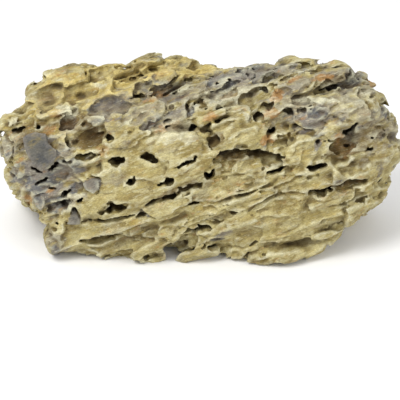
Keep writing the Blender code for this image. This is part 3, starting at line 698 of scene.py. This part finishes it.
def patches(rows, x, y, z, seed):
    """How strongly the patches of one kind lie on points of the stone, with ragged edges. Away from the face,
    drifts of the same kind take their place."""
    g, b, w = in_beds(x, y, z)
    up = up_face(x, y, z)
    edge = noise(g / 7, b / 3.5, w / 6, seed) * 0.35 + noise(g / 2.5, b / 1.5, w / 2, seed + 1) * 0.2
    seen = np.zeros_like(x)
    for across, height, length, width, slope, strength in rows:
        turn = radians(slope)
        a = ((x - across) * cos(turn) + (up - height) * sin(turn)) / (length / 2)
        c = ((up - height) * cos(turn) - (x - across) * sin(turn)) / (width / 2)
        seen = np.maximum(seen, strength * np.clip((1.1 + edge - np.hypot(a, c)) / 0.35, 0, 1))
    drift = noise(g / 34, b / 15, w / 26, seed + 2) + noise(g / 12, b / 6, w / 10, seed + 3) * 0.4
    drift = np.clip((drift + edge * 0.4 - 0.42) / 0.25, 0, 1) * 0.8
    front = np.clip(0.5 - w / 24, 0, 1)
    return seen * front + drift * (1 - front)


def set_attribute(mesh, name, values):
    mesh.attributes.new(name, "FLOAT", "POINT").data.foreach_set("value", values.astype(np.float32))


points = np.empty(len(stone_mesh.vertices) * 3, np.float32)
stone_mesh.vertices.foreach_get("co", points)
points = points.reshape(-1, 3) / MM
x, y, z = points.T.copy()
# Half of what lies round a point on a flat face is rock: less of it is a crest, and more a hollow.
near_share, mid_share, far_share = (
    carved.at_points(carved.solid_share(size), points) for size in (2.4, 5.0, 9.0)
)
# The crest, cranny, hollow and deep measures also place a painted highlight on crests and painted shade in
# creases, hollows and deep holes.
set_attribute(stone_mesh, "crest", np.clip((0.45 - near_share) / 0.15, 0, 1))
set_attribute(stone_mesh, "cranny", np.clip((near_share - 0.52) / 0.16, 0, 1))
set_attribute(stone_mesh, "hollow", np.clip((far_share - 0.52) / 0.22, 0, 1))
set_attribute(stone_mesh, "deep", np.clip((np.maximum(mid_share, far_share) - 0.68) / 0.14, 0, 1))
inside = carved.at_points(carved.grey, points)
set_attribute(stone_mesh, "slate", np.clip(inside - 1, 0, 1))
set_attribute(stone_mesh, "worn", wornness(x, y, z))
set_attribute(stone_mesh, "grey_clay", np.maximum(patches(GREY_CLAY, x, y, z, 81), np.clip(inside, 0, 1)))
for name, rows, seed in (
    ("rust", RUST, 85), ("cool", COOL, 101), ("earth", EARTH_AND_SHADE, 97), ("lime", LIME, 89), ("ochre", OCHRE, 93),
):  # fmt: skip
    set_attribute(stone_mesh, name, patches(rows, x, y, z, seed))

# Set down on the origin, in metres. What comes within EASE of the solid's box, or passes it, is drawn in
# smoothly, so that the fine relief ends just inside the box and isn't sheared off flat.
EASE = 0.003
MARGIN = 0.0004  # room left for the beds' fine lines
low, high = (np.array(corner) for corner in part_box("dragon_stone"))
points = (points - (MIDDLE_X, MIDDLE_Y, 0)) * MM
for axis, side, edge in ((0, 1, high), (1, 1, high), (2, 1, high), (0, -1, low), (1, -1, low)):
    past = (points[:, axis] - edge[axis]) * side + EASE + MARGIN
    points[:, axis] -= side * np.where(past > 0, past - EASE * np.tanh(past / EASE), 0)
points[:, 2] = np.maximum(points[:, 2], low[2])
stone_mesh.vertices.foreach_set("co", points.astype(np.float32).ravel())
stone_mesh.update()
del carved

# ---------------------------------------------------------------------------------------------------------
# The beds' fine lines: thin layers, a millimetre or two thick, that stand out where the clay between them has
# washed away. They follow the dip of the beds over the whole skin.

BED_LINE_DEPTH = 0.35  # how far a line stands out, or in, at most
BED_LINE_LONG = 11.0
BED_LINE_THICK = 1.7


def add_node(tree, kind, settings=None, **inputs):
    """Adds a node with its settings. Inputs go by socket name, or by number as _0, and are linked or set."""
    node = tree.nodes.new(kind)
    for name, value in (settings or {}).items():
        setattr(node, name, value)
    for name, value in inputs.items():
        numbered = name[0] == "_" and name[1:].isdigit()
        socket = node.inputs[int(name[1:]) if numbered else name.replace("_", " ")]
        if isinstance(value, bpy.types.NodeSocket):
            tree.links.new(value, socket)
        else:
            socket.default_value = value
    return node


def grain_place(tree, place, unit):
    """A place turned to lie along the beds and measured in millimetres: x along them, y square to them."""
    parts = []
    for direction in (GRAIN, BEDDING, INTO):
        axis = tuple(direction / unit)
        dot = add_node(tree, "ShaderNodeVectorMath", {"operation": "DOT_PRODUCT"}, _0=place, _1=axis)
        parts.append(dot.outputs["Value"])
    return add_node(tree, "ShaderNodeCombineXYZ", X=parts[0], Y=parts[1], Z=parts[2]).outputs["Vector"]


bed_lines = bpy.data.node_groups.new("bed_lines", "GeometryNodeTree")
sockets = {}
for name, kind, way in (
    ("Geometry", "NodeSocketGeometry", "INPUT"),
    ("Depth", "NodeSocketFloat", "INPUT"),
    ("Long", "NodeSocketFloat", "INPUT"),
    ("Thick", "NodeSocketFloat", "INPUT"),
    ("Rock", "NodeSocketMaterial", "INPUT"),
    ("Geometry", "NodeSocketGeometry", "OUTPUT"),
):
    sockets[name, way] = bed_lines.interface.new_socket(name, in_out=way, socket_type=kind).identifier
given = add_node(bed_lines, "NodeGroupInput").outputs
place = grain_place(bed_lines, add_node(bed_lines, "GeometryNodeInputPosition").outputs[0], MM)
size = add_node(bed_lines, "ShaderNodeCombineXYZ", X=given["Long"], Y=given["Thick"], Z=given["Long"])
place = add_node(bed_lines, "ShaderNodeVectorMath", {"operation": "DIVIDE"}, _0=place, _1=size.outputs[0])
inputs = {"Vector": place.outputs[0], "Scale": 1.0, "Detail": 1.0, "Roughness": 0.6}
lines = add_node(bed_lines, "ShaderNodeTexNoise", **inputs).outputs[0]
# more of the skin is washed away between the lines than stands out on them
lines = add_node(bed_lines, "ShaderNodeMath", {"operation": "SUBTRACT"}, _0=lines, _1=0.55)
inputs = {"_0": lines.outputs[0], "_1": given["Depth"]}
lines = add_node(bed_lines, "ShaderNodeMath", {"operation": "MULTIPLY"}, **inputs)
inputs = {"_0": add_node(bed_lines, "GeometryNodeInputNormal").outputs[0], "Scale": lines.outputs[0]}
offset = add_node(bed_lines, "ShaderNodeVectorMath", {"operation": "SCALE"}, **inputs)
inputs = {"Geometry": given["Geometry"], "Offset": offset.outputs[0]}
lined = add_node(bed_lines, "GeometryNodeSetPosition", **inputs)
lined = add_node(bed_lines, "GeometryNodeRealizeInstances", Geometry=lined.outputs[0])
lined = add_node(bed_lines, "GeometryNodeSetMaterial", Geometry=lined.outputs[0], Material=given["Rock"])
add_node(bed_lines, "NodeGroupOutput", Geometry=lined.outputs[0])

# ---------------------------------------------------------------------------------------------------------
# The rock itself: clay hardened to stone, broken and weathered, and never cut or polished. It is khaki to
# ochre, with grey clay where it has worn through, rust along its beds, brown earth with painted shade in its
# hollows and creases, a near-black painted shade in its deep holes, and lime with a painted highlight on its
# crests.


def linear(colour):
    """An sRGB hex colour as linear red, green, blue and alpha."""
    parts = [int(colour[n : n + 2], 16) / 255 for n in (1, 3, 5)]
    return (*(c / 12.92 if c <= 0.04045 else ((c + 0.055) / 1.055) ** 2.4 for c in parts), 1.0)


KHAKI, KHAKI_DEEP, KHAKI_PALE = linear("#A19460"), linear("#857646"), linear("#B9AF80")
OCHRE_STAIN, ORANGE_STAIN = linear("#B09B56"), linear("#AA8850")
GREY_PALE, GREY, GREY_BLUE = linear("#938C7A"), linear("#7A746C"), linear("#5B5D61")
SLATE_GREY, SLATE_DARK = linear("#5B5952"), linear("#474848")
# The pale lime also paints a highlight on the crests.
LIME_AND_HIGHLIGHT_PALE, YELLOW_PALE = linear("#C9C6AA"), linear("#C9BA7E")
# The brown is earth and also painted shade in creases and hollows; the near black is painted shade in the
# deep holes.
RUST_STAIN, EARTH_AND_SHADE_BROWN, PAINTED_HOLE_SHADE = linear("#A37A48"), linear("#5A4524"), linear("#1B150E")

SPLIT_THICK = 2.6  # millimetres from one of the beds' splits to the next
SPLIT_WANDER = 7.0  # how many splits' widths they wander up and down
CHIP_SIZE = (6.25, 3.125, 4.545)  # millimetres along the beds, square to them and into the face

# Weathered clay rock, dry. To the eye it is quite matt and nowhere one colour, and each stain on it has a
# ragged edge, drawn out along the beds.
rock_stuff = bpy.data.materials.new("weathered_clay_rock")
rock_stuff.use_nodes = True
tree = rock_stuff.node_tree
surface = tree.nodes["Principled BSDF"]
place = add_node(tree, "ShaderNodeTexCoord").outputs["Object"]
beds = grain_place(tree, place, MM)
carried = {
    name: add_node(tree, "ShaderNodeAttribute", {"attribute_name": name}).outputs["Fac"]
    for name in "crest hollow cranny deep slate worn grey_clay rust cool earth lime ochre".split()
}
crest, hollow = carried["crest"], carried["hollow"]
eased = {"interpolation_type": "SMOOTHSTEP"}


def bed_noise(long, thick, detail, roughness):
    """Noise about 0.5, in bumps of these sizes in millimetres along and across the beds."""
    size = (long, thick, (long + thick) / 2)
    scaled = add_node(tree, "ShaderNodeVectorMath", {"operation": "DIVIDE"}, _0=beds, _1=size).outputs[0]
    inputs = {"Vector": scaled, "Scale": 1.0, "Detail": detail, "Roughness": roughness}
    return add_node(tree, "ShaderNodeTexNoise", **inputs).outputs[0]


def patchy(long, thick, low, high, detail=6, roughness=0.7, least=0.0, most=1.0):
    """A share that comes and goes in patches of these sizes, from least to most as the noise goes up."""
    inputs = {"From_Min": low, "From_Max": high, "To_Min": least, "To_Max": most}
    inputs["Value"] = bed_noise(long, thick, detail, roughness)
    return add_node(tree, "ShaderNodeMapRange", eased, **inputs).outputs[0]


def ragged_patch(name, break_up):
    """A share that the skin carries, with its edge broken up along the beds."""
    wander = add_node(tree, "ShaderNodeMath", {"operation": "SUBTRACT"}, _0=bed_noise(9, 4, 6, 0.75), _1=0.5)
    inputs = {"_0": wander.outputs[0], "_1": break_up, "_2": carried[name]}
    broken = add_node(tree, "ShaderNodeMath", {"operation": "MULTIPLY_ADD"}, **inputs).outputs[0]
    inputs = {"Value": broken, "From_Min": 0.15, "From_Max": 0.85}
    return add_node(tree, "ShaderNodeMapRange", eased, **inputs).outputs[0]


def stained(colour, stains):
    """The colour with stains laid over it in turn: each a tint, then shares that multiply to its strength."""
    for tint, share, *others in stains:
        for other in others:
            share = add_node(tree, "ShaderNodeMath", {"operation": "MULTIPLY"}, _0=share, _1=other).outputs[0]
        mixed = add_node(tree, "ShaderNodeMix", {"data_type": "RGBA"}, _0=share, _6=colour, _7=tint)
        colour = mixed.outputs[2]
    return colour


# stains that come and go by chance are fainter where the skin is worn smooth
inputs = {"_0": carried["worn"], "_1": -0.65, "_2": 1.0}
mottled = add_node(tree, "ShaderNodeMath", {"operation": "MULTIPLY_ADD"}, **inputs).outputs[0]
cool = ragged_patch("cool", 1.0)
# grey clay shows more on the cool stretches, also on the hollows' floors, and the brown earth with painted
# shade in the hollows less
cool_greys, cool_floors, hollow_dirt_and_shade = (
    add_node(tree, "ShaderNodeMapRange", eased, Value=cool, To_Min=warm, To_Max=cold).outputs[0]
    for warm, cold in ((0.25, 0.9), (0.15, 0.85), (0.42, 0.2))
)
inputs = {"Value": carried["ochre"], "From_Min": 0.2, "From_Max": 0.7}
yellower = add_node(tree, "ShaderNodeMapRange", eased, **inputs).outputs[0]

ochres = stained(OCHRE_STAIN, [(YELLOW_PALE, patchy(17, 8, 0.44, 0.6))])
greys = stained(GREY, [(GREY_BLUE, patchy(14, 8, 0.42, 0.58, detail=5, roughness=0.55))])
# pale on the crests: lime, with a painted highlight where the light catches the ridges
crest_lime_and_highlight = stained(LIME_AND_HIGHLIGHT_PALE, [(YELLOW_PALE, yellower)])
slate_colour = stained(SLATE_GREY, [
    (SLATE_DARK, patchy(11, 7, 0.42, 0.6)),
    (KHAKI_DEEP, patchy(13, 7, 0.5, 0.66, roughness=0.75), 0.5),
    # painted highlight on the slate's crests
    (GREY, crest, 0.6),
])  # fmt: skip
colour = stained(KHAKI, [
    (KHAKI_DEEP, patchy(34, 16, 0.42, 0.58, roughness=0.65)),
    (KHAKI_PALE, patchy(14, 6, 0.46, 0.6), 0.8),
    (ochres, ragged_patch("ochre", 1.8), 0.75),
    (ORANGE_STAIN, ragged_patch("ochre", 1.0), patchy(13, 5, 0.54, 0.6), 0.5),
    (OCHRE_STAIN, patchy(16, 7, 0.53, 0.64), mottled, 0.6),
    (GREY_PALE, cool, patchy(24, 11, 0.4, 0.52), 0.75),
    (greys, ragged_patch("grey_clay", 1.1), 0.9),
    (greys, patchy(20, 9, 0.5, 0.6), mottled, cool_greys),
    (greys, hollow, patchy(24, 12, 0.4, 0.55, detail=5, roughness=0.55), cool_floors),
    # brown patches of earth with painted shade
    (EARTH_AND_SHADE_BROWN, ragged_patch("earth", 1.3), 0.75),
    (RUST_STAIN, ragged_patch("rust", 1.3), 0.85),
    (RUST_STAIN, patchy(12, 4.5, 0.57, 0.67), mottled, 0.55),
    (LIME_AND_HIGHLIGHT_PALE, ragged_patch("lime", 1.6), 0.75),
    (LIME_AND_HIGHLIGHT_PALE, patchy(7, 2.2, 0.58, 0.68), 0.6),
    # the beds' edges: thin pale lines where they stand out, lime with a painted highlight, and dark ones
    # where they part, earth with painted shade. The thinnest real ones are 0.3 mm, and are drawn a millimetre
    # thick so that they show.
    (LIME_AND_HIGHLIGHT_PALE, patchy(7, 1.0, 0.56, 0.64, detail=5, roughness=0.75), 0.35),
    (EARTH_AND_SHADE_BROWN, patchy(11, 1.1, 0.44, 0.37, detail=5), 0.28),
    # painted highlight on the crests, over their lime
    (crest_lime_and_highlight, crest, patchy(14, 8, 0.35, 0.6, detail=4, roughness=0.55), 0.65),
    # darker brown in the creases and the hollows: partly earth, partly painted shade
    (EARTH_AND_SHADE_BROWN, carried["cranny"], 0.42),
    (EARTH_AND_SHADE_BROWN, hollow, hollow_dirt_and_shade),
    # painted shade: near black deep in the holes, where the light does not reach
    (PAINTED_HOLE_SHADE, carried["deep"], 0.62),
    (slate_colour, carried["slate"], patchy(4, 2.5, 0.28, 0.4, detail=5, least=0.55)),
])  # fmt: skip
# Lighter and darker streaks along the beds, and grit. The real grit is a fifth of a millimetre, and is drawn
# at a millimetre so that it shows.
streaks = patchy(7, 1.6, 0.3, 0.7, detail=5, least=0.9, most=1.08)
grit = patchy(1.3, 1.0, 0.3, 0.7, detail=3, roughness=0.8, least=0.79, most=1.18)
for shade in (streaks, grit):
    colour = add_node(tree, "ShaderNodeVectorMath", {"operation": "SCALE"}, _0=colour, Scale=shade).outputs[0]
tree.links.new(colour, surface.inputs["Base Color"])
matt = patchy(6, 3, 0.3, 0.7, detail=3, roughness=0.55, least=0.78, most=0.95)
tree.links.new(matt, surface.inputs["Roughness"])
# clay rock has an IOR of about 1.5, but its pores swallow half of what a smooth face would throw back
surface.inputs["IOR"].default_value = 1.5
surface.inputs["Metallic"].default_value = 0.0
surface.inputs["Specular IOR Level"].default_value = 0.25

# Relief too fine for the mesh: first the beds' splits, which step up from bed to bed, and small flat chips.
across_beds = add_node(tree, "ShaderNodeSeparateXYZ", Vector=beds).outputs["Y"]
inputs = {"_0": bed_noise(20, 9, 4, 0.6), "_1": SPLIT_WANDER}
wander = add_node(tree, "ShaderNodeMath", {"operation": "MULTIPLY"}, **inputs)
inputs = {"_0": across_beds, "_1": 1 / SPLIT_THICK, "_2": wander.outputs[0]}
splits = add_node(tree, "ShaderNodeMath", {"operation": "MULTIPLY_ADD"}, **inputs)
splits = add_node(tree, "ShaderNodeMath", {"operation": "FRACT"}, _0=splits.outputs[0])
here_and_there = patchy(15, 7, 0.42, 0.62, detail=3, roughness=0.55)
splits = add_node(tree, "ShaderNodeMath", {"operation": "MULTIPLY"}, _0=splits.outputs[0], _1=here_and_there)
warp = add_node(tree, "ShaderNodeTexNoise", Vector=beds, Scale=0.5, Detail=2.0).outputs["Color"]
inputs = {"_0": beds, "_1": tuple(1 / size for size in CHIP_SIZE), "_2": warp}
chips = add_node(tree, "ShaderNodeVectorMath", {"operation": "MULTIPLY_ADD"}, **inputs)
chips = add_node(tree, "ShaderNodeTexVoronoi", Vector=chips.outputs[0], Scale=1.0)
chips = add_node(tree, "ShaderNodeSeparateColor", Color=chips.outputs["Color"])
# Then finer relief, down to grit. Each is a height, how strongly it shows and how deep it is in metres.
bumped = {}
for height, strength, deep in (
    (splits.outputs[0], 0.6, 0.0009),
    (chips.outputs[0], 0.5, 0.0006),
    (bed_noise(10, 1.0, 4, 0.6), 0.5, 0.0008),
    (bed_noise(2.4, 1.6, 3, 0.65), 0.36, 0.0008),
    (bed_noise(0.8, 0.6, 2, 0.55), 0.55, 0.0003),
):
    bump = add_node(tree, "ShaderNodeBump", Strength=strength, Distance=deep, Height=height, **bumped)
    bumped = {"Normal": bump.outputs[0]}
tree.links.new(bump.outputs[0], surface.inputs["Normal"])

# The lines are put on for good, and the stone is clipped to the solid's box.
CRISP = radians(36)  # edges where the skin turns by more than this stay sharp
lined = stone.modifiers.new("bed_lines", "NODES")
lined.node_group = bed_lines
lined[sockets["Depth", "INPUT"]] = BED_LINE_DEPTH * 2 * MM
lined[sockets["Long", "INPUT"]] = BED_LINE_LONG
lined[sockets["Thick", "INPUT"]] = BED_LINE_THICK
lined[sockets["Rock", "INPUT"]] = rock_stuff
graph = bpy.context.evaluated_depsgraph_get()
stone_mesh = bpy.data.meshes.new_from_object(stone.evaluated_get(graph))
stone.modifiers.clear()
stone.data = stone_mesh
stone_mesh.name = "stone"
stone_mesh.shade_smooth()
stone_mesh.set_sharp_from_angle(angle=CRISP)
points = np.empty(len(stone_mesh.vertices) * 3, np.float32)
stone_mesh.vertices.foreach_get("co", points)
points = np.clip(points.reshape(-1, 3), low, high)
stone_mesh.vertices.foreach_set("co", points.astype(np.float32).ravel())
stone_mesh.update()
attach(stone, "root")
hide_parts("dragon_stone")

# ---------------------------------------------------------------------------------------------------------
# The floor: a wide board, painted white and lying level under the stone. It only takes the stone's shadow,
# and belongs to the stage.

floor_mesh = bpy.data.meshes.new("floor")
floor_mesh.from_pydata([(-4, -4, 0), (4, -4, 0), (4, 4, 0), (-4, 4, 0)], [], [(0, 1, 2, 3)])
floor = bpy.data.objects.new("floor", floor_mesh)
bpy.context.scene.collection.objects.link(floor)
# Matt white paint, rolled on. To the eye it is even and without a shine.
floor_paint = bpy.data.materials.new("matt_white_paint")
floor_paint.use_nodes = True
tree = floor_paint.node_tree
place = add_node(tree, "ShaderNodeTexCoord").outputs["Object"]
rolled = add_node(tree, "ShaderNodeTexNoise", Vector=place, Scale=3.0).outputs[0]
inputs = {"_0": rolled, "_6": linear("#EFEFEF"), "_7": linear("#F1F1F1")}
white = add_node(tree, "ShaderNodeMix", {"data_type": "RGBA"}, **inputs)
tree.links.new(white.outputs[2], tree.nodes["Principled BSDF"].inputs["Base Color"])
tree.nodes["Principled BSDF"].inputs["Roughness"].default_value = 0.9
floor_mesh.materials.append(floor_paint)

# ---------------------------------------------------------------------------------------------------------
# The studio: even light from all round, a large softbox above on the left and a weaker one on the right. The
# camera stands in front, 28 degrees above the horizon.

world = bpy.data.worlds.new("studio")
bpy.context.scene.world = world
world.use_nodes = True
world.node_tree.nodes["Background"].inputs["Color"].default_value = (1.0, 1.0, 1.0, 1.0)
world.node_tree.nodes["Background"].inputs["Strength"].default_value = 0.83


def softbox(name, place, size, power):
    light = bpy.data.lights.new(name, "AREA")
    light.energy, light.size = power, size
    box = bpy.data.objects.new(name, light)
    bpy.context.scene.collection.objects.link(box)
    box.location = place
    box.rotation_euler = (Vector((0, 0, 0.05)) - Vector(place)).to_track_quat("-Z", "Y").to_euler()


softbox("key", (-0.5, -0.7, 1.05), 0.6, 12.5)
softbox("fill", (0.8, -0.9, 0.7), 0.8, 4)

CAMERA_AWAY = 2.0
PICTURE_WIDE = 0.297  # metres across the picture at the stone
IN_THE_MIDDLE = 22.64  # millimetres up the face from the origin
camera_data = bpy.data.cameras.new("camera")
camera = bpy.data.objects.new("camera", camera_data)
bpy.context.scene.collection.objects.link(camera)
aim = Vector(UP * IN_THE_MIDDLE * MM) - Vector((MIDDLE_X * MM, MIDDLE_Y * MM, 0))
camera.location = aim - Vector(INTO) * CAMERA_AWAY
camera.rotation_euler = Vector(INTO).to_track_quat("-Z", "Y").to_euler()
camera_data.sensor_width = 36
camera_data.lens = camera_data.sensor_width * CAMERA_AWAY / PICTURE_WIDE
bpy.context.scene.camera = camera
bpy.context.scene.view_settings.view_transform = "Standard"
